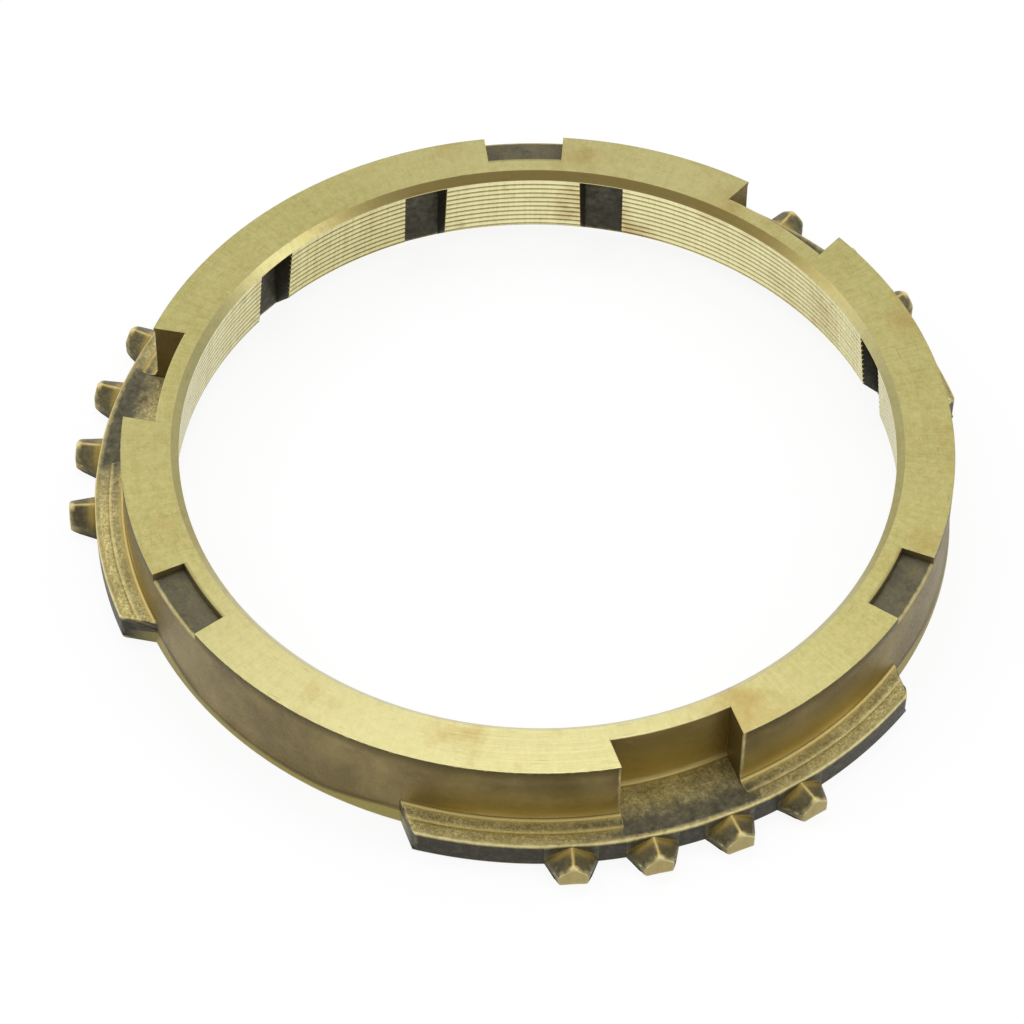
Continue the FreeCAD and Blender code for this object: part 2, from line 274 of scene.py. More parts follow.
class Rows:
    """Where each part of the section lies among the rows of the grid."""

    def __init__(self, counts):
        starts = [int(start) for start in np.cumsum([0, *counts])]
        self.count = starts[-1]
        self.bore, self.under, self.outer, self.top, self.inner_hub = [
            slice(low, high) for low, high in zip(starts, starts[1:])]
        self.mouth = slice(0, MOUTH_ROWS)
        self.thread = slice(MOUTH_ROWS, self.bore.stop - RELIEF_ROWS)
        self.oil_slot = slice(MOUTH_ROWS + 1, self.bore.stop - 1)
        self.grooves = np.arange(MOUTH_ROWS + 4, self.bore.stop - RELIEF_ROWS - 1, 3)
        tooth = self.outer.start + UNDER_ROWS
        tip = tooth + TOOTH_UNDER_ROWS
        roof = tip + TOOTH_TIP_ROWS
        lifted = roof + TOOTH_ROOF_ROWS
        bevel = lifted + LIFTED_ROWS
        self.tooth = slice(tooth, lifted)
        self.tip = slice(tip, roof - 1)
        self.roof = slice(roof, lifted)
        self.lifted = slice(lifted, bevel)
        self.face = slice(tooth - 2, bevel)
        self.rounded = slice(tooth, bevel + BEVEL_ROWS)
        self.rim = slice(bevel + BEVEL_ROWS, self.outer.stop)
        self.shelf = slice(self.outer.stop - SHELF_ROWS, self.outer.stop)
        self.step = slice(self.shelf.start - 1, self.shelf.start + 1)
        self.fillet = slice(self.top.start, self.top.start + 3)
        wall = self.top.start + FILLET_ROWS
        self.wall = slice(wall, wall + WALL_ROWS)
        self.low_wall = slice(wall - 2, self.wall.stop)
        self.shoulder = slice(self.wall.stop, self.wall.stop + 2)
        self.plain_wall = slice(self.top.start, self.shoulder.stop)
        self.floor = slice(self.rim.start, self.wall.stop + SHOULDER_ROWS)
        self.key_foot = slice(self.floor.stop, self.floor.stop + 1)
        self.key_back = slice(self.floor.stop + 1, self.top.stop)
        self.hub = slice(self.wall.stop + 1, self.top.stop)


def rounding(distance, radius):
    """How far a rounded edge of that radius lies back, at a distance from the sharp edge.

    It is a circle's: the radius, less the root of its square less the square of what is left of it.
    """
    short = np.clip(radius - np.maximum(distance, 0), 0, radius)
    return radius - np.sqrt(radius ** 2 - short ** 2)


def ramp(values, start, width):
    """Zero below the start, one beyond the start and the width, and even between."""
    return np.clip((values - start) / width, 0, 1)


def pairs(*points):
    return np.array(points, float)


def bore_rows():
    """Mouth, chamfer, threaded cone and relief, from the hub face down to the underside.

    Each turn of the thread is a land, three fifths of the pitch wide, and a V groove.
    """
    chamfer_foot = RING_HEIGHT - CHAMFER
    pitch = (THREAD_TOP - RELIEF_HEIGHT) / THREAD_TURNS
    turns = THREAD_TOP - pitch * np.arange(THREAD_TURNS)
    groove = (1 + THREAD_LAND) / 2
    height = np.stack([turns, turns - THREAD_LAND * pitch, turns - groove * pitch], axis=1).ravel()
    height = np.concatenate([[OIL_TOP + 0.01, OIL_TOP - 0.01], height, [RELIEF_HEIGHT]])
    radius = CONE_RADIUS + (chamfer_foot - height) * CONE_SLOPE
    radius[4:-1:3] += THREAD_DEPTH
    share = np.array([0.35, 0.6, 0.78, 1.0])
    relief = np.stack([radius[-1] + share * RELIEF_REACH, RELIEF_HEIGHT * (1 - share)], axis=1)
    mouth = pairs((CONE_RADIUS + CHAMFER, RING_HEIGHT), (CONE_RADIUS, chamfer_foot))
    return np.concatenate([mouth, np.stack([radius, height], axis=1), relief])


def wall_radius(height):
    """Radius of the drafted wall: the hub face's, plus the slope times the depth under that face."""
    return HUB_RADIUS + (RING_HEIGHT - height) * WALL_SLOPE


def foot_rows(count):
    """Rounded foot and flare of the wall where there is no flange, straight between its knots."""
    flare = wall_radius(FLARE_HEIGHT)
    foot = flare + FLARE_REACH - 0.09
    path = pairs((foot - 0.32, 0), (foot - 0.16, 0.04), (foot - 0.05, 0.14), (foot, 0.32),
                 (foot - 0.04, 0.5), (flare + 0.03, FLARE_HEIGHT - 0.12), (flare, FLARE_HEIGHT),
                 (wall_radius(2.9), 2.9))
    share = np.linspace(0, 1, count)
    knots = np.array([0, 0.1, 0.2, 0.3, 0.4, 0.7, 0.8, 1.0])
    return np.stack([np.interp(share, knots, path[:, column]) for column in (0, 1)], axis=1)


def flange_rows():
    """Underside, outer face, rounded rim and shelf of a segment, where no tooth stands.

    A fine step parts the rim from the shelf, which rises evenly to the wall.
    """
    under = pairs((42.2, 0), (43.2, 0), (FLANGE_RADIUS - 0.3, 0), (FLANGE_RADIUS - 0.09, 0.09))
    face_height = np.concatenate([np.linspace(0.3, 0.8, 16), [1.4, 2.0, 2.6]])
    face = np.stack([np.full_like(face_height, FLANGE_RADIUS), face_height], axis=1)
    rim_inner = FLANGE_RADIUS - RIM_WIDTH
    rim = pairs((FLANGE_RADIUS, RIM_HEIGHT - RIM_BEVEL), (FLANGE_RADIUS - 0.06, RIM_HEIGHT - 0.06),
                (FLANGE_RADIUS - RIM_BEVEL, RIM_HEIGHT), (FLANGE_RADIUS - 0.6, RIM_HEIGHT),
                (rim_inner + 0.3, RIM_HEIGHT), (rim_inner + 0.04, RIM_HEIGHT))
    shelf_radius = np.array([rim_inner - 0.04, 42.2, 41.8])
    slope = (SHELF_RISE - SHELF_STEP) / (rim_inner - wall_radius(RIM_HEIGHT + SHELF_RISE))
    shelf_height = RIM_HEIGHT + SHELF_STEP + slope * (rim_inner - shelf_radius)
    return np.concatenate([under, face, rim, np.stack([shelf_radius, shelf_height], axis=1)])


def key_rows():
    """Floor, fillet and back wall of a key slot; the fillet goes in by the sine and up by the cosine."""
    floor_radius = np.linspace(41.7, ROOT_RADIUS + KEY_FILLET, FILLET_ROWS + WALL_ROWS + SHOULDER_ROWS)
    floor = np.stack([floor_radius, np.full_like(floor_radius, KEY_FLOOR)], axis=1)
    foot = np.radians([25, 50, 75])
    fillet = np.stack([ROOT_RADIUS + KEY_FILLET * (1 - np.sin(foot)),
                       KEY_FLOOR + KEY_FILLET * (1 - np.cos(foot))], axis=1)
    back = pairs(*[(ROOT_RADIUS, height) for height in (3.8, 5.4, 7.0, 8.6, 9.7, 10.2, RING_HEIGHT)])
    return np.concatenate([floor, fillet, back])


def top_rows(state):
    """Wall and hub face as they are plain, beside a flange or in a mark.

    The wall keeps to its draft, and above a flange it starts with a fillet like the key slot's.
    """
    shelf_top = RIM_HEIGHT + SHELF_RISE
    if state == "flange":
        turn = np.radians(np.linspace(15, 90, FILLET_ROWS))
        fillet = np.stack([wall_radius(shelf_top) + SHELF_FILLET * (1 - np.sin(turn)),
                           shelf_top - 0.03 + SHELF_FILLET * (1 - np.cos(turn))], axis=1)
    else:
        height = np.linspace(2.98, shelf_top + SHELF_FILLET, FILLET_ROWS)
        fillet = np.stack([wall_radius(height), height], axis=1)
    if state == "mark":
        top, first = MARK_FLOOR, 40.62
        shoulder = pairs((41.01, top - 0.25), (40.93, top - 0.07), (40.72, top))
        step = pairs((ROOT_RADIUS + 0.01, top), (ROOT_RADIUS, RING_HEIGHT))
    else:
        top, first = RING_HEIGHT, 40.92
        shoulder = pairs((41.0, top - 0.05), (40.99, top - 0.012), (40.96, top))
        step = pairs((ROOT_RADIUS + 0.05, top), (ROOT_RADIUS + 0.01, top))
    height = np.linspace(3.9, top - 0.35, WALL_ROWS)
    side = np.stack([wall_radius(height), height], axis=1)
    hub_radius = np.concatenate([[first], np.linspace(40.3, ROOT_RADIUS + 0.15, HUB_ROWS - 1)])
    hub = np.stack([hub_radius, np.full_like(hub_radius, top)], axis=1)
    return np.concatenate([fillet, side, shoulder, hub, step])


def ring_sections(columns):
    """Radius and height of every row in every column, part by part of the section.

    A part that changes round the ring has a form in each state, and a column mixes the forms by
    how far it lies inside each feature: plain plus the share times the difference.
    """
    under = pairs((39.1, 0), (40.0, 0), (40.8, 0))
    inner_hub = pairs(*[(radius, RING_HEIGHT) for radius in (37.4, 36.9, 36.45, 36.13)])
    bore, under, inner_hub = [
        np.tile(part, (len(columns.angle), 1, 1)) for part in (bore_rows(), under, inner_hub)]
    flange, mark, key = [share[:, None, None] for share in (columns.flange, columns.mark, columns.key)]
    segment = flange_rows()
    foot = foot_rows(len(segment))
    plain = top_rows("plain")
    top = plain + (top_rows("flange") - plain) * flange
    top = top + (top_rows("mark") - plain) * mark
    top = top + (key_rows() - top) * key
    return [bore, under, foot + (segment - foot) * flange, top, inner_hub]


def tooth_points(angle):
    """Teeth over the rows that the flange's outer face keeps for them.

    In a tooth's own frame, x runs out along its centre line and y across it. Each column keeps a
    fixed share of the half width, which narrows evenly to the tip. The roof falls from the ridge
    by its slope times the distance from the centre line, softened at the ridge and the eaves.
    """
    centres = np.array(TOOTH_CENTRES)
    nearest = centres[np.abs(angle[:, None] - centres[None, :]).argmin(axis=1)]
    share = np.clip((angle - nearest) / TOOTH_WALL, -1, 1)[:, None]
    under_x = np.array([44.8, 45.8, TIP_RADIUS - 0.12])
    tip_x = np.full(TOOTH_TIP_ROWS, TIP_RADIUS)
    roof_x = np.array([46.57, 46.4, 46.0, 45.5, 45.0, 44.5, FLANGE_RADIUS + 0.02])
    x = np.concatenate([under_x, tip_x, roof_x])[None, :] * np.ones_like(share)
    narrowing = (TOOTH_TIP_HALF - TOOTH_ROOT_HALF) / (TIP_RADIUS - FLANGE_RADIUS)
    half = TOOTH_ROOT_HALF + (x - FLANGE_RADIUS) * narrowing
    y = share * half
    edge = half - np.abs(y)
    roof = RIDGE_HEIGHT - np.hypot(y, RIDGE_SOFTNESS) * ROOF_SLOPE - rounding(edge, EAVE_ROUNDING)
    roof -= rounding(TIP_RADIUS - x, TIP_ROUNDING)
    z = np.full_like(x, TOOTH_LIFT)
    share_up = np.array([0.05, 0.3, 0.6, 0.85, 0.98])
    roof_start = TOOTH_UNDER_ROWS + TOOTH_TIP_ROWS
    tip = slice(TOOTH_UNDER_ROWS, roof_start)
    z[:, tip] += share_up * (roof[:, tip] + TIP_ROUNDING / 2 - TOOTH_LIFT)
    z[:, roof_start:] = roof[:, roof_start:]
    x -= rounding(edge, TIP_ROUNDING) * (x > TIP_RADIUS - 0.3)
    turn = np.radians(nearest)[:, None]
    teeth = np.stack([x * np.cos(turn) - y * np.sin(turn), x * np.sin(turn) + y * np.cos(turn), z], axis=2)
    low = roof[:, -1:]
    face_height = low + (RIM_HEIGHT - RIM_BEVEL - low) * np.array([0.25, 0.5, 0.8])
    return teeth, face_height, tooth_polish_and_highlights(share, x)


def tooth_polish_and_highlights(share, x):
    """Painted highlights on a tooth's roof: its ridge, which is also rubbed, a spot beside the tip and a
    patch at the root.
    """
    ridge = np.clip(1 - np.abs(share) / 0.12, 0, 1) * 0.7
    spot = np.clip(1.4 - np.abs(share) / 0.3, 0, 1) * ramp(x, 46.0, 0.35)
    root = 0.42 * np.clip((45.1 - x) / 0.6, 0, 1) * np.clip((1 - np.abs(share)) / 0.4, 0, 1)
    polish_and_highlight = np.maximum(np.maximum(ridge * np.ones_like(x), spot), root)
    polish_and_highlight[:, :TOOTH_UNDER_ROWS + TOOTH_TIP_ROWS] = 0
    return polish_and_highlight


def round_ends(columns, rows, radius, height):
    """Rounded forged edges at the ends of the flange and beside the key slots."""
    from_end = (END_WALL - np.abs(columns.angle)) * np.radians(FLANGE_RADIUS)
    end = (rounding(from_end, END_ROUNDING) * columns.flange * (from_end > 0))[:, None]
    radius[:, rows.rounded] -= end
    height[:, rows.rim] -= 0.4 * end
    from_key = (np.abs(columns.angle) - KEY_WALL) * np.radians(HUB_RADIUS)
    beside = (from_key > 0) * (columns.key < 0.5)
    radius[:, rows.wall] -= (rounding(from_key, KEY_EDGE_ROUNDING) * beside)[:, None]


def deepen_oil_slots(columns, rows, radius):
    """Moves the cone's rows out to the flat back of each oil slot: its distance over the cosine."""
    for centre in OIL_CENTRES:
        inside = presence(columns.angle, spans_about([centre], OIL_WALL), WALL_GAP)[:, None]
        flat_back = ROOT_RADIUS / np.cos(np.radians(columns.angle - centre))[:, None]
        deeper = np.maximum(radius[:, rows.oil_slot], flat_back)
        radius[:, rows.oil_slot] += (deeper - radius[:, rows.oil_slot]) * inside


def side_of(angle, centre, wall, fade):
    """Minus one at a feature's one wall, one at its other, and none at its middle and past the fade."""
    knots = [centre - fade, centre - wall, centre, centre + wall, centre + fade]
    return np.interp(angle, knots, [0, -1, 0, 1, 0])[:, None]


def column_lean(columns, rows, radius):
    """Angle by which each point leaves its column, to follow each wall that isn't radial.

    It is the wall's angle at the point's radius less its column's, times two shares: how near the
    column is to the wall, and how far the row belongs to it.
    """
    angle = columns.angle
    key_share = np.zeros(rows.count)
    key_share[rows.top] = 1
    key_share[rows.outer.stop - 6:rows.outer.stop] = np.linspace(0.1, 0.95, 6)
    key_share[rows.inner_hub] = (0.75, 0.4, 0.1, 0)
    key_side = side_of(angle, 0, KEY_WALL, KEY_STRAIGHT)
    lean = (wall_angle(KEY_HALF_WIDTH, radius) - KEY_WALL) * key_side * key_share
    end_share = np.zeros(rows.count)
    end_share[rows.under] = (0.25, 0.5, 0.8)
    end_share[rows.outer] = 1
    end_share[rows.top.start:rows.wall.stop] = np.linspace(1, 0, FILLET_ROWS + WALL_ROWS)
    knots = [END_STRAIGHT_INSIDE, END_WALL, END_STRAIGHT_OUTSIDE]
    end_side = (np.sign(angle) * np.interp(np.abs(angle), knots, [0, 1, 0]))[:, None]
    lean += (wall_angle(FLANGE_HALF_WIDTH, radius) - END_WALL) * end_side * end_share
    oil_share = np.zeros(rows.count)
    oil_share[rows.thread.start:rows.bore.stop] = 1
    oil_share[rows.under] = (0.7, 0.4, 0.1)
    narrowing = (OIL_ROOT_HALF_WIDTH - OIL_HALF_WIDTH) / (ROOT_RADIUS - OIL_MEETS)
    half = OIL_HALF_WIDTH + (radius - OIL_MEETS) * narrowing
    for centre in OIL_CENTRES:
        oil_side = side_of(angle, centre, OIL_WALL, OIL_STRAIGHT)
        lean += (wall_angle(half, radius) - OIL_WALL) * oil_side * oil_share
    return lean


def ring_points(columns, rows, section):
    """Points of the grid, columns by rows by three, and the rubbed ridges and painted highlights of the
    teeth.

    A point lies at its radius times the cosine and the sine of its angle, and at its height.
    """
    radius, height = section[:, :, 0].copy(), section[:, :, 1].copy()
    round_ends(columns, rows, radius, height)
    deepen_oil_slots(columns, rows, radius)
    lean = column_lean(columns, rows, radius)
    key = columns.key[:, None]
    sunk = np.minimum(height[:, rows.shelf], KEY_FLOOR) - height[:, rows.shelf]
    height[:, rows.shelf] += sunk * key
    radius[:, rows.step] += np.array([0.3, -0.3]) * key
    teeth, face_height, polish_and_highlight = tooth_points(columns.angle)
    height[:, rows.lifted] += (face_height - height[:, rows.lifted]) * columns.tooth[:, None]
    turn = np.radians(columns.angle[:, None] + lean)
    points = np.stack([radius * np.cos(turn), radius * np.sin(turn), height], axis=2)
    points[:, rows.tooth] += (teeth - points[:, rows.tooth]) * columns.tooth[:, None, None]
    return points, polish_and_highlight


def surface_kinds(columns, rows):
    """Material of each face: turned at the mouth and on the hub face, else thread, tip or skin."""
    kinds = np.full((len(columns.angle), rows.count), SKIN)
    kinds[:, rows.inner_hub] = TURNED
    kinds[:, 0] = TURNED
    kinds[:, 1:rows.thread.stop] = THREAD
    kinds[:, rows.hub] = TURNED
    kinds[:, rows.tip] = TIP
    oiled = np.maximum(columns.oil, np.roll(columns.oil, -1)) > 0
    toothless = np.minimum(columns.tooth, np.roll(columns.tooth, -1)) < 1
    for part, where in ((slice(rows.hub.start, rows.hub.stop - 1), lowered_faces(columns)),
                        (slice(1, rows.bore.stop), oiled), (rows.tip, toothless)):
        block = kinds[:, part]
        block[where] = SKIN
    return kinds


def lowered_faces(columns):
    """Whether the faces between each column and the next touch a key slot or a mark."""
    lowered = np.maximum(columns.key, columns.mark)
    return np.maximum(lowered, np.roll(lowered, -1)) > 0


def soot_and_shade_mask(columns, rows, height, reach):
    """Dark forged scale on marks and slot floors, and painted shade in sheltered places: oil slots,
    grooves, outer faces and flange ends.
    """
    angle, mark, oil, tooth = columns.angle, columns.mark, columns.oil, columns.tooth
    key = columns.key[:, None]
    soot_and_shade = np.zeros(height.shape)
    near_oil = np.minimum(oil + (np.roll(oil, 1) + np.roll(oil, -1)) * (oil < 0.5), 1)
    # painted shade: the oil slots darken lower down
    fading = 0.93 - 0.03 * (height[:, rows.oil_slot] - 3.0).clip(0, 5)
    soot_and_shade[:, rows.oil_slot] = near_oil[:, None] * fading
    # painted shade in the thread's grooves
    soot_and_shade[:, rows.grooves] = np.maximum(soot_and_shade[:, rows.grooves], 0.9)
    soot_and_shade[:, rows.wall.stop:rows.top.stop] += 0.63 * mark[:, None]
    soot_and_shade[:, rows.shoulder] += 0.25 * mark[:, None]
    # painted shade: a dark line on the wall along each key slot's edge
    beside_key = np.abs(np.abs(angle) - KEY_WALL) < 0.03
    soot_and_shade[:, rows.top] += 0.8 * beside_key[:, None]
    # outer faces between the teeth, and the teeth's faces and roofs: dark scale with painted shade
    soot_and_shade[:, rows.face] += 0.97 * (columns.flange * (1 - tooth))[:, None]
    soot_and_shade[:, rows.lifted] += 0.8 * tooth[:, None]
    soot_and_shade[:, rows.roof] += 0.55 * tooth[:, None]
    # darker ends of the flanges: dark scale with painted shade
    ends = columns.flange * (np.abs(angle) > END_WALL - 0.1)
    ends += (1 - columns.flange) * (np.abs(angle) < END_WALL + 0.1)
    soot_and_shade[:, rows.outer] += 0.8 * ends[:, None]
    band = np.clip(1 - np.abs(reach[:, rows.rim] - 42.0) / 0.55, 0, 1)
    soot_and_shade[:, rows.rim] += 0.3 * band * (1 - key)
    slate = ramp(reach, 40.2, 2.2) * np.clip((FLANGE_RADIUS - 0.1 - reach) / 0.4, 0, 1)
    beyond = np.interp(np.abs(angle), [KEY_WALL, KEY_WALL + 1.5, KEY_WALL + 9], [1, 0.55, 0])[:, None]
    soot_and_shade[:, rows.floor] += (0.2 + 0.6 * slate[:, rows.floor]) * key
    soot_and_shade[:, rows.rim] += 0.65 * slate[:, rows.rim] * beyond * (1 - key)
    return soot_and_shade


def polish_and_highlight_mask(columns, rows, height, teeth):
    """Golden to cream: rubbed metal, and painted highlights and reflections: lines at the shelf, the low
    wall, slot backs and the teeth.
    """
    polish_and_highlight = np.zeros(height.shape)
    shelf, key = columns.shelf[:, None], columns.key[:, None]
    # painted highlight: the bright line where the shelf's fillet meets the wall
    polish_and_highlight[:, rows.fillet] = np.array([0.34, 0.8, 0.66]) * shelf
    # painted highlight on the step, brighter on one side of each segment
    polish_and_highlight[:, rows.step] = np.where(columns.angle < 0, 0.42, 0.12)[:, None] * shelf
    # painted reflection: a golden glow on the low wall over the segments, brighter lower down and fading
    # toward their ends
    glow = 0.34 * np.clip((7.8 - height[:, rows.low_wall]) / 3.6, 0, 1)
    glow += 0.35 * np.clip((4.9 - height[:, rows.low_wall]) / 1.2, 0, 1)
    glow *= np.interp(np.abs(columns.angle), [END_WALL - 10, END_WALL], [1, 0.1])[:, None]
    polish_and_highlight[:, rows.low_wall] = glow * shelf
    # painted highlight: a bright line at the foot of each key slot's back wall
    polish_and_highlight[:, rows.key_foot] = 0.7 * key
    # painted reflection on the key slot's back wall, brighter lower down
    back_glow = 0.12 + np.clip((9.0 - height[:, rows.key_back]) / 5.5, 0, 1) * 0.5
    polish_and_highlight[:, rows.key_back] = back_glow * key
    polish_and_highlight[:, rows.shoulder] = np.maximum(polish_and_highlight[:, rows.shoulder], 0.3 * columns.mark[:, None])
    # the teeth's rubbed ridges and painted highlights
    polish_and_highlight[:, rows.tooth] = teeth * columns.tooth[:, None]
    return polish_and_highlight


def speckle_and_glint_mask(columns, rows, shape):
    """Grain with painted bright glints on the shelf and the floor of the key slots, and fewer on the
    teeth.
    """
    speckle_and_glints = np.zeros(shape)
    speckle_and_glints[:, rows.rim] = columns.flange[:, None]
    speckle_and_glints[:, rows.fillet] = columns.flange[:, None]
    speckle_and_glints[:, rows.tooth] = 0.4 * columns.tooth[:, None]
    low = slice(rows.top.start, rows.floor.stop)
    speckle_and_glints[:, low] = np.maximum(speckle_and_glints[:, low], columns.key[:, None])
    return speckle_and_glints


def foot_masks(columns, rows, height, reach):
    """Darker brown: a painted shadow under the hub's edge, a tone on tooth roofs and mark shoulders, and a
    line above the paler strip along the foot of the wall.

    The strip's top falls away evenly with the angle from the nearest segment.
    """
    grime_and_shadow, paler_foot_strip = np.zeros(height.shape), np.zeros(height.shape)
    # painted shadow: a dark line on the wall just under the edge of the hub face
    under_hub = ramp(height[:, rows.plain_wall], 9.2, 0.9) * (1 - columns.key[:, None])
    grime_and_shadow[:, rows.plain_wall] += 0.75 * under_hub
    grime_and_shadow[:, rows.roof] += 0.2 * columns.tooth[:, None]
    grime_and_shadow[:, rows.shoulder] += 0.3 * columns.mark[:, None]
    apart = np.minimum(np.abs(columns.angle), SECTOR - columns.angle)
    # a paler strip on the wall's flare, with a darker line just above it
    strip_top = np.interp(apart, [END_WALL + 2, END_WALL + 12], [FLARE_HEIGHT, 1.0])[:, None]
    low = height[:, rows.outer]
    plain = (1 - columns.flange)[:, None]
    flare = np.clip((FLARE_HEIGHT + 0.05 - low) / 0.3, 0, 1) * (reach[:, rows.outer] > 41.2)
    paler_foot_strip[:, rows.outer] = np.clip((strip_top - low) / 0.3, 0, 1) * flare * plain
    line = np.clip(1 - np.abs(low - strip_top - 0.2) / 0.3, 0, 1)
    grime_and_shadow[:, rows.outer] += 0.6 * line * plain
    return grime_and_shadow, paler_foot_strip


def side_walls(columns, rows):
    """Kind of side wall that each face is part of, or zero for the rest."""
    walls = np.zeros((len(columns.angle), rows.count), int)
    for kind, inside, part in ((KEY_SIDE, columns.key, slice(rows.rim.start, rows.top.stop)),
                               (MARK_SIDE, columns.mark, slice(rows.wall.stop, rows.top.stop)),
                               (OIL_SIDE, columns.oil, slice(rows.thread.start, rows.bore.stop - 1))):
        stands = np.abs(np.roll(inside, -1) - inside) > 0.5
        walls[:, part] = np.where(stands[:, None], kind, walls[:, part])
    marked = lowered_faces(columns) & (columns.key < 0.5)
    inner_step = rows.top.stop - 2
    walls[:, inner_step] = np.where(marked, MARK_SIDE, walls[:, inner_step])
    return walls


def ring_grid():
    """One sector of the grid: its rows, points, each face's material, masks and side walls.

    A wall lies between two close columns of different state.
    """
    columns = Columns()
    sections = ring_sections(columns)
    rows = Rows([section.shape[1] for section in sections])
    points, teeth = ring_points(columns, rows, np.concatenate(sections, axis=1))
    height = points[:, :, 2]
    reach = np.hypot(points[:, :, 0], points[:, :, 1])
    grime_and_shadow, paler_foot_strip = foot_masks(columns, rows, height, reach)
    masks = {
        "soot_and_shade": soot_and_shade_mask(columns, rows, height, reach),
        "polish_and_highlight": polish_and_highlight_mask(columns, rows, height, teeth),
        "speckle_and_glints": speckle_and_glint_mask(columns, rows, height.shape),
        "grime_and_shadow": grime_and_shadow,
        "paler_foot_strip": paler_foot_strip,
    }
    masks = {label: values.clip(0, 1) for label, values in masks.items()}
    return rows, points, surface_kinds(columns, rows), masks, side_walls(columns, rows)


def painted_sheen_and_shade(points, rows):
    """Painted light round the ring: a painted highlight on one side of the hub face, the mouth and the
    thread, and painted shade turning the chamfer amber on the far side.

    Each follows the cosine of the angle from one place on the ring.
    """
    turn = np.arctan2(points[:, :, 1], points[:, :, 0])
    toward = np.cos(turn - math.radians(PALE_AZIMUTH))
    # painted highlight: paler on the side toward PALE_AZIMUTH, and a little on the opposite side
    pale = ramp(toward, 0.5, 0.45) + 0.5 * ramp(-toward, 0.75, 0.2)
    pale *= points[:, :, 2] > MARK_FLOOR
    amber_shade = np.zeros_like(pale)
    # painted shade: the chamfer turns amber on the side away from the painted highlight
    amber_shade[:, rows.mouth] = 0.05 + 0.8 * ramp(-toward[:, rows.mouth], 0.55, 0.33)
    # painted highlight on the rest of the chamfer
    pale[:, rows.mouth] += 0.6 * (0.85 - amber_shade[:, rows.mouth])
    # painted highlight on the side of the thread toward BRIGHT_THREAD_AZIMUTH
    across = np.cos(turn[:, rows.thread] - math.radians(BRIGHT_THREAD_AZIMUTH))
    pale[:, rows.thread] = ramp(across, 0.72, 0.25)
    return {"pale": pale, "amber_shade": amber_shade}


def all_round(points):
    """Copies of one sector's columns, turned about the axis into the other sectors."""
    copies = []
    for number in range(SECTORS):
        turn = math.radians(number * SECTOR)
        cosine, sine = math.cos(turn), math.sin(turn)
        copies.append(points @ np.array([[cosine, sine, 0], [-sine, cosine, 0], [0, 0, 1]]))
    return np.concatenate(copies)


def wear_of(points):
    """Convexity at each point: how far it stands out of the middle of its neighbours, along the normal."""
    wide = np.roll(points, -1, 0) - np.roll(points, 1, 0)
    long = np.roll(points, -1, 1) - np.roll(points, 1, 1)
    normal = np.cross(wide, long)
    normal /= np.linalg.norm(normal, axis=2, keepdims=True) + 1e-12
    total = np.zeros(points.shape[:2])
    for axis in (0, 1):
        before = np.roll(points, 1, axis) - points
        after = np.roll(points, -1, axis) - points
        before /= np.linalg.norm(before, axis=2, keepdims=True) + 1e-9
        after /= np.linalg.norm(after, axis=2, keepdims=True) + 1e-9
        total -= np.einsum("ijk,ijk->ij", before + after, normal)
    return np.clip(total, -1, 1)


def mesh_piece(name, points, kinds, masks, walls, materials):
    """A closed mesh from a grid that joins itself in both directions, with masks at face corners.

    The corners of a side wall take that wall's masks, with their painted shade.
    """
    columns, rows = points.shape[:2]
    index = np.arange(columns * rows).reshape(columns, rows)
    ahead = np.roll(index, -1, 0)
    quads = np.stack([index, ahead, np.roll(ahead, -1, 1), np.roll(index, -1, 1)], axis=2).reshape(-1, 4)
    mesh = bpy.data.meshes.new(name)
    mesh.vertices.add(columns * rows)
    mesh.vertices.foreach_set("co", (points * MM).astype(np.float32).ravel())
    mesh.loops.add(quads.size)
    mesh.loops.foreach_set("vertex_index", quads.ravel().astype(np.int32))
    mesh.polygons.add(len(quads))
    mesh.polygons.foreach_set("loop_start", np.arange(0, quads.size, 4, dtype=np.int32))
    for material in materials:
        mesh.materials.append(material)
    mesh.polygons.foreach_set("material_index", kinds.ravel().astype(np.int32))
    mesh.update(calc_edges=True)
    mesh.validate()
    walls = walls.ravel()
    for label, values in {"wear": wear_of(points), **masks}.items():
        corners = values.ravel()[quads]
        if label in SIDE_WALL_SHADE_AND_FINISH:
            finish = np.array((0.0, *SIDE_WALL_SHADE_AND_FINISH[label]))
            corners = np.where(walls[:, None] > 0, finish[walls][:, None], corners)
        layer = mesh.attributes.new(label, "FLOAT", "CORNER")
        layer.data.foreach_set("value", corners.ravel().astype(np.float32))
    mesh.shade_smooth()
    mesh.set_sharp_from_angle(angle=math.radians(32))
    piece = bpy.data.objects.new(name, mesh)
    bpy.context.collection.objects.link(piece)
    return piece


def add(tree, kind, settings=None, **inputs):
    """A node with its settings, and its inputs set to values or linked from other nodes' outputs.

    An input is named in words, with underscores for spaces, or by its number after an i.
    """
    made = tree.nodes.new(kind)
    for name, value in (settings or {}).items():
        setattr(made, name, value)
    for name, value in inputs.items():
        numbered = name[0] == "i" and name[1:].isdigit()
        socket = made.inputs[int(name[1:]) if numbered else name.replace("_", " ")]
        if isinstance(value, bpy.types.NodeSocket):
            tree.links.new(value, socket)
        else:
            socket.default_value = value
    return made


def maths(tree, operation, *values, clamp=False):
    inputs = {f"i{number}": value for number, value in enumerate(values)}
    return add(tree, "ShaderNodeMath", {"operation": operation, "use_clamp": clamp}, **inputs).outputs[0]


def times(tree, first, second):
    return maths(tree, "MULTIPLY", first, second)


def mixed(tree, factor, first, second):
    inputs = {"i0": factor, "i6": first, "i7": second}
    return add(tree, "ShaderNodeMix", {"data_type": "RGBA"}, **inputs).outputs[2]


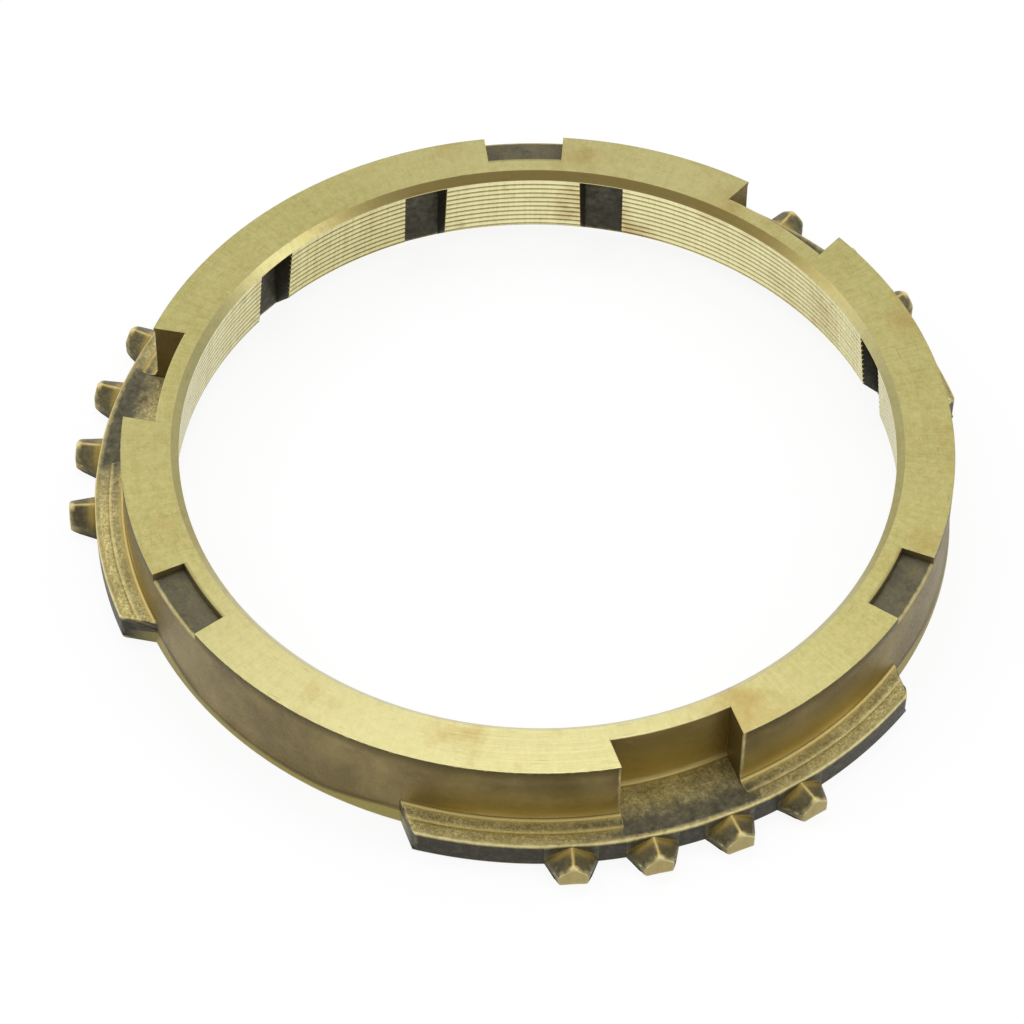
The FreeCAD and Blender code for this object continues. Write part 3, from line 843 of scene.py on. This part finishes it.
def spread(tree, value, low, high, out_low=0.0, out_high=1.0):
    """A value stretched from one range to another, held at its ends."""
    return add(tree, "ShaderNodeMapRange", Value=value, From_Min=low, From_Max=high,
               To_Min=out_low, To_Max=out_high).outputs[0]


def noise(tree, place, **settings):
    return add(tree, "ShaderNodeTexNoise", Vector=place, **settings).outputs["Fac"]


def object_place(tree):
    return add(tree, "ShaderNodeTexCoord").outputs["Object"]


def mask(tree, label):
    return add(tree, "ShaderNodeAttribute", {"attribute_name": label}).outputs["Fac"]


def new_group(name, inputs, outputs):
    """An empty node group with named inputs and their defaults, and named outputs, all plain values."""
    group = bpy.data.node_groups.new(name, "ShaderNodeTree")
    for label, default in inputs.items():
        socket = group.interface.new_socket(label, in_out="INPUT", socket_type="NodeSocketFloat")
        socket.default_value = default
    for label in outputs:
        group.interface.new_socket(label, in_out="OUTPUT", socket_type="NodeSocketFloat")
    entry = group.nodes.new("NodeGroupInput")
    exit_node = group.nodes.new("NodeGroupOutput")
    return group, entry.outputs, exit_node.inputs


def worn_edges_group():
    """Mask of worn edges: how convex the skin is, broken up by grain; and a mask of painted shade where
    the skin is concave.
    """
    group, given, wanted = new_group("worn edges", {"Amount": 1.0, "Grain size": 0.6}, ["Worn", "Painted hollow shade"])
    convex = mask(group, "wear")
    scale = maths(group, "DIVIDE", 1000.0, given["Grain size"])
    grain = noise(group, object_place(group), Scale=scale, Detail=3.0)
    worn = spread(group, maths(group, "MULTIPLY_ADD", grain, 0.5, convex), 0.42, 0.95)
    group.links.new(maths(group, "MULTIPLY", worn, given["Amount"], clamp=True), wanted["Worn"])
    # painted shade in concave places
    group.links.new(spread(group, convex, -0.05, -0.6), wanted["Painted hollow shade"])
    return group


def stain_group():
    """Broad uneven tarnish, small spots, rare rusty patches and a fine mottle."""
    group, given, wanted = new_group(
        "tarnish", {"Patch size": 9.0, "Spot size": 0.7}, ["Patches", "Spots", "Rust", "Mottle"])
    place = object_place(group)
    patch_scale = maths(group, "DIVIDE", 1000.0, given["Patch size"])
    spot_scale = maths(group, "DIVIDE", 1000.0, given["Spot size"])
    wide = noise(group, place, Scale=patch_scale, Detail=4.0, Roughness=0.6, Distortion=0.3)
    small = noise(group, place, Scale=spot_scale, Detail=3.0, Roughness=0.7)
    rare = noise(group, place, Scale=90.0, Detail=5.0, Roughness=0.65)
    fine = noise(group, place, Scale=1500.0, Detail=6.0, Roughness=0.85)
    for label, value, low, high in (("Patches", wide, 0.42, 0.68), ("Spots", small, 0.55, 0.75),
                                    ("Rust", rare, 0.55, 0.72), ("Mottle", fine, 0.40, 0.62)):
        group.links.new(spread(group, value, low, high), wanted[label])
    return group


def lathe_group():
    """Concentric tool marks: uneven bands of the distance from the axis, and scratches along them.

    The noise is laid out on the distance from the axis and the angle about it, and for chatter
    also on the height.
    """
    group, given, wanted = new_group(
        "lathe marks", {"Spacing": 0.12}, ["Height", "Bands", "Scratches", "Chatter"])
    split = add(group, "ShaderNodeSeparateXYZ", Vector=object_place(group)).outputs
    squares = maths(group, "MULTIPLY_ADD", split["X"], split["X"], times(group, split["Y"], split["Y"]))
    radius = times(group, maths(group, "SQRT", squares), 1000.0)
    along = maths(group, "ARCTAN2", split["Y"], split["X"])
    steps = maths(group, "DIVIDE", radius, given["Spacing"])
    flat = add(group, "ShaderNodeCombineXYZ", X=steps, Y=times(group, along, 1.5)).outputs[0]
    long_flat = add(group, "ShaderNodeCombineXYZ", X=times(group, radius, 5.0),
                    Y=times(group, along, 14.0)).outputs[0]
    across = add(group, "ShaderNodeCombineXYZ", X=times(group, radius, 0.12), Y=times(group, along, 130.0),
                 Z=times(group, split["Z"], 90.0)).outputs[0]
    fine = noise(group, flat, Scale=1.0, Detail=2.0)
    coarse = noise(group, flat, Scale=0.16, Detail=1.0)
    dash = noise(group, long_flat, Scale=1.0, Detail=1.0)
    streak = noise(group, across, Scale=1.0, Detail=2.0)
    group.links.new(maths(group, "MULTIPLY_ADD", coarse, 0.6, fine), wanted["Height"])
    group.links.new(spread(group, coarse, 0.35, 0.65), wanted["Bands"])
    group.links.new(spread(group, dash, 0.68, 0.78), wanted["Scratches"])
    group.links.new(spread(group, streak, 0.3, 0.7), wanted["Chatter"])
    return group


def new_material(name):
    material = bpy.data.materials.new(name)
    material.use_nodes = True
    return material, material.node_tree, material.node_tree.nodes["Principled BSDF"]


def use_group(tree, group, **inputs):
    return add(tree, "ShaderNodeGroup", {"node_tree": group}, **inputs).outputs


def link_bump(tree, shader, height, distance, strength):
    bump = add(tree, "ShaderNodeBump", Height=height, Distance=distance * MM, Strength=strength)
    tree.links.new(bump.outputs["Normal"], shader.inputs["Normal"])


def turned_brass(name, groups, colour, dark, bright, palest, roughness, chatter):
    """Machined brass: lathe marks, chatter across them brightened into painted glints, tarnish, scratches,
    painted shade in the dark grooves, and a painted highlight and shade by side of the ring.
    """
    material, tree, shader = new_material(name)
    shader.inputs["Metallic"].default_value = 1.0
    lathe = use_group(tree, groups["lathe"], Spacing=0.11)
    stain = use_group(tree, groups["stain"], Patch_size=12.0, Spot_size=0.9)
    edges = use_group(tree, groups["edges"], Amount=0.2, Grain_size=0.5)
    base = colour
    for share, strength, film in (
            # chatter marks, brightened into painted glints
            (lathe["Chatter"], chatter, bright),
            (lathe["Bands"], 0.14, dark),
            (stain["Patches"], 0.3, dark),
            (stain["Mottle"], 0.6, bright),
            (stain["Spots"], 0.4, BRASS_FILMS_AND_SHADES["spots"]),
            # painted highlight on one side of the ring
            (mask(tree, "pale"), 0.5, palest),
            (stain["Rust"], 0.75, BRASS_FILMS_AND_SHADES["rust"]),
            # painted shade: amber on one side of the chamfer
            (mask(tree, "amber_shade"), 1.0, BRASS_FILMS_AND_SHADES["amber_shade"]),
            (lathe["Scratches"], 0.35, BRASS_FILMS_AND_SHADES["scratches"]),
            (edges["Worn"], 0.5, BRASS_FILMS_AND_SHADES["worn"]),
            # painted shade in the thread's grooves
            (mask(tree, "soot_and_shade"), 1.0, BRASS_FILMS_AND_SHADES["soot_and_shade"])):
        base = mixed(tree, times(tree, share, strength), base, film)
    tree.links.new(base, shader.inputs["Base Color"])
    rough = spread(tree, stain["Spots"], 0.0, 1.0, roughness, roughness + 0.14)
    tree.links.new(rough, shader.inputs["Roughness"])
    link_bump(tree, shader, lathe["Height"], 0.012, 0.6)
    return material


def forged_skin(groups):
    """Scale of the forging: brown, slate where the scale is dark and as painted shade in sheltered places,
    gold to cream where it is rubbed and as painted highlights, with painted glints and painted shade in
    hollows.
    """
    material, tree, shader = new_material("forged skin")
    shader.inputs["Specular IOR Level"].default_value = 0.3
    stain = use_group(tree, groups["stain"], Patch_size=7.0, Spot_size=0.42)
    edges = use_group(tree, groups["edges"], Amount=1.0, Grain_size=0.55)
    soot_and_shade, polish_and_highlight, speckle_and_glints = [mask(tree, label) for label in ("soot_and_shade", "polish_and_highlight", "speckle_and_glints")]
    place = object_place(tree)
    grit = noise(tree, place, Scale=4800.0, Detail=3.0, Roughness=0.6)
    lumps = noise(tree, place, Scale=1300.0, Detail=3.0)
    fleck = noise(tree, place, Scale=3000.0, Detail=5.0, Roughness=0.85)
    fleck = spread(tree, fleck, 0.41, 0.63)
    uneven = spread(tree, noise(tree, place, Scale=420.0, Detail=3.0), 0.35, 0.65)
    patchy = times(tree, times(tree, soot_and_shade, 3.2), maths(tree, "SUBTRACT", 1.08, soot_and_shade))
    soot_and_shade = maths(tree, "MULTIPLY_ADD", maths(tree, "SUBTRACT", lumps, 0.5), patchy, soot_and_shade)
    base = mixed(tree, stain["Patches"], *SKIN_COLOURS["brown"])
    grains = mixed(tree, fleck, *SKIN_COLOURS["grains"])
    grain_share = times(tree, speckle_and_glints, spread(tree, uneven, 0.0, 1.0, 0.6, 1.0))
    specks = maths(tree, "MULTIPLY_ADD", uneven, 0.5, times(tree, fleck, 0.5))
    slate = mixed(tree, specks, *SKIN_COLOURS["slate"])
    black = mixed(tree, lumps, *SKIN_COLOURS["black"])
    slate = mixed(tree, spread(tree, soot_and_shade, 0.76, 1.0), slate, black)
    worn = times(tree, edges["Worn"], spread(tree, soot_and_shade, 0.4, 1.0, 1.0, 0.35))
    golden, cream = SKIN_COLOURS["gold"]
    for share, film in (
            # bright grain painted as glints
            (grain_share, grains),
            # dark scale, and painted shade in sheltered places
            (spread(tree, soot_and_shade, 0.0, 0.72, 0.0, 0.95), slate),
            # painted shade in concave places
            (times(tree, edges["Painted hollow shade"], 0.45), SKIN_COLOURS["hollow_shade"]),
            # dark brown, with the painted shadow under the hub's edge
            (mask(tree, "grime_and_shadow"), SKIN_COLOURS["grime_and_shadow"]),
            (mask(tree, "paler_foot_strip"), SKIN_COLOURS["paler_foot_strip"]),
            # rubbed metal, and painted highlights and reflections, gold to cream
            (spread(tree, polish_and_highlight, 0.0, 0.55), golden),
            (spread(tree, polish_and_highlight, 0.5, 1.0), cream),
            (worn, SKIN_COLOURS["worn"])):
        base = mixed(tree, share, base, film)
    tree.links.new(base, shader.inputs["Base Color"])
    tree.links.new(spread(tree, soot_and_shade, 0.1, 0.8, 0.9, 0.3), shader.inputs["Metallic"])
    tree.links.new(spread(tree, grit, 0.3, 0.7, 0.36, 0.6), shader.inputs["Roughness"])
    fine_relief = times(tree, grit, maths(tree, "MULTIPLY_ADD", speckle_and_glints, 2.4, 0.8))
    link_bump(tree, shader, maths(tree, "MULTIPLY_ADD", lumps, 1.2, fine_relief), 0.06, 0.55)
    return material


def floor_material():
    """Pale floor that the camera and reflections see as white, with the ring's soft shadow."""
    material, tree, shader = new_material("pale floor")
    shader.inputs["Base Color"].default_value = (0.9, 0.9, 0.9, 1)
    shader.inputs["Roughness"].default_value = 0.9
    shader.inputs["Specular IOR Level"].default_value = 0.1
    glow = add(tree, "ShaderNodeEmission", Color=(1, 1, 1, 1), Strength=1.05).outputs[0]
    path = add(tree, "ShaderNodeLightPath").outputs
    seen = maths(tree, "MAXIMUM", path["Is Camera Ray"], path["Is Glossy Ray"])
    seen = maths(tree, "MAXIMUM", seen, path["Is Transmission Ray"])
    both = add(tree, "ShaderNodeMixShader", i0=times(tree, seen, 0.85), i1=shader.outputs[0], i2=glow)
    tree.links.new(both.outputs[0], tree.nodes["Material Output"].inputs["Surface"])
    return material


def make_floor():
    corners = [(x * FLOOR_HALF, y * FLOOR_HALF, 0) for x, y in ((-1, -1), (1, -1), (1, 1), (-1, 1))]
    mesh = bpy.data.meshes.new("floor")
    mesh.from_pydata(corners, [], [(0, 1, 2, 3)])
    mesh.materials.append(floor_material())
    floor = bpy.data.objects.new("floor", mesh)
    bpy.context.collection.objects.link(floor)


def make_world():
    """Soft studio room, bright above and behind the ring and dimmer on the camera's side.

    The level is the cosine between a direction and the brightest one, stretched between two
    values. The camera sees plain white, and reflections see it in the backdrop just over the horizon.
    """
    world = bpy.data.worlds.new("studio")
    bpy.context.scene.world = world
    world.use_nodes = True
    tree = world.node_tree
    brightest = aim(CAMERA_AZIMUTH + 180, BRIGHTEST_ELEVATION)[2]
    direction = add(tree, "ShaderNodeTexCoord").outputs["Generated"]
    toward = add(tree, "ShaderNodeVectorMath", {"operation": "DOT_PRODUCT"}, i0=direction,
                 i1=tuple(float(part) for part in brightest)).outputs["Value"]
    level = spread(tree, toward, 0.0, 0.95, 0.25, 0.84)
    height = add(tree, "ShaderNodeSeparateXYZ", Vector=direction).outputs["Z"]
    backdrop = spread(tree, height, 0.08, 0.25, 1.0, 0.0)
    path = add(tree, "ShaderNodeLightPath").outputs
    mirrored = maths(tree, "MAXIMUM", path["Is Glossy Ray"], path["Is Transmission Ray"])
    seen = maths(tree, "MAXIMUM", path["Is Camera Ray"], times(tree, mirrored, backdrop))
    background = tree.nodes["Background"]
    background.inputs["Color"].default_value = (1, 1, 1, 1)
    tree.links.new(maths(tree, "MAXIMUM", level, seen), background.inputs["Strength"])


def aim(azimuth, elevation, roll=0.0):
    """Turn whose third axis points from the ring to a place at that azimuth and elevation."""
    turn, tilt = math.radians(azimuth), math.radians(elevation)
    back = np.array([math.cos(tilt) * math.cos(turn), math.cos(tilt) * math.sin(turn), math.sin(tilt)])
    right = np.array([-math.sin(turn), math.cos(turn), 0])
    up = np.cross(back, right)
    spin = math.radians(roll)
    rolled_right = math.cos(spin) * right + math.sin(spin) * up
    rolled_up = math.cos(spin) * up - math.sin(spin) * right
    return rolled_right, rolled_up, back


def place_object(item, position, axes):
    turn = Matrix([[*row] for row in np.stack(axes, axis=1)]).to_4x4()
    item.matrix_world = Matrix.Translation([float(value) for value in position]) @ turn


def make_softbox(name, azimuth, elevation, size, power):
    lamp = bpy.data.lights.new(name, "AREA")
    lamp.shape = "RECTANGLE"
    lamp.size, lamp.size_y = size
    lamp.energy = power
    item = bpy.data.objects.new(name, lamp)
    bpy.context.collection.objects.link(item)
    axes = aim(azimuth, elevation)
    place_object(item, axes[2] * LAMP_DISTANCE, axes)


def make_camera():
    camera = bpy.data.cameras.new("camera")
    camera.lens = CAMERA_LENS
    camera.sensor_width = 36
    camera.clip_start = 0.01
    item = bpy.data.objects.new("camera", camera)
    bpy.context.collection.objects.link(item)
    right, up, back = aim(CAMERA_AZIMUTH, CAMERA_ELEVATION, CAMERA_ROLL)
    hub_centre = np.array([0, 0, RING_HEIGHT])
    position = hub_centre + back * CAMERA_DISTANCE - right * CAMERA_RIGHT + up * CAMERA_DOWN
    place_object(item, position * MM, (right, up, back))
    bpy.context.scene.camera = item


def ring_materials():
    """Materials in the order of TURNED, THREAD, SKIN and TIP."""
    groups = {"edges": worn_edges_group(), "stain": stain_group(), "lathe": lathe_group()}
    # palest is the colour of the painted highlight on one side of the ring; chatter sets how bright the
    # painted glints of the chatter marks are
    return [
        turned_brass("turned brass", groups, colour=(0.44, 0.395, 0.135, 1), dark=(0.34, 0.29, 0.085, 1),
                     bright=(0.62, 0.565, 0.25, 1), palest=(0.68, 0.63, 0.34, 1),
                     roughness=0.32, chatter=0.4),
        turned_brass("thread brass", groups, colour=(0.53, 0.47, 0.19, 1), dark=(0.38, 0.32, 0.11, 1),
                     bright=(0.80, 0.76, 0.44, 1), palest=(1.0, 0.95, 0.60, 1),
                     roughness=0.24, chatter=0.9),
        forged_skin(groups),
        turned_brass("tooth tip brass", groups, colour=(0.34, 0.27, 0.10, 1), dark=(0.24, 0.18, 0.06, 1),
                     bright=(0.44, 0.37, 0.16, 1), palest=(0.44, 0.37, 0.16, 1),
                     roughness=0.4, chatter=0.5),
    ]


def main():
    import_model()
    bpy.context.scene.view_settings.view_transform = "Standard"
    rows, points, kinds, masks, walls = ring_grid()
    points = all_round(points)
    masks = {label: np.tile(values, (SECTORS, 1)) for label, values in masks.items()}
    masks.update(painted_sheen_and_shade(points, rows))
    kinds, walls = [np.tile(faces, (SECTORS, 1)) for faces in (kinds, walls)]
    ring = mesh_piece("forged_ring", points, kinds, masks, walls, ring_materials())
    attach(ring, "root")
    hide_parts(NODE)
    make_floor()
    make_world()
    for name, (azimuth, elevation, size, power) in SOFTBOXES.items():
        make_softbox(name, azimuth, elevation, size, power)
    make_camera()


main()
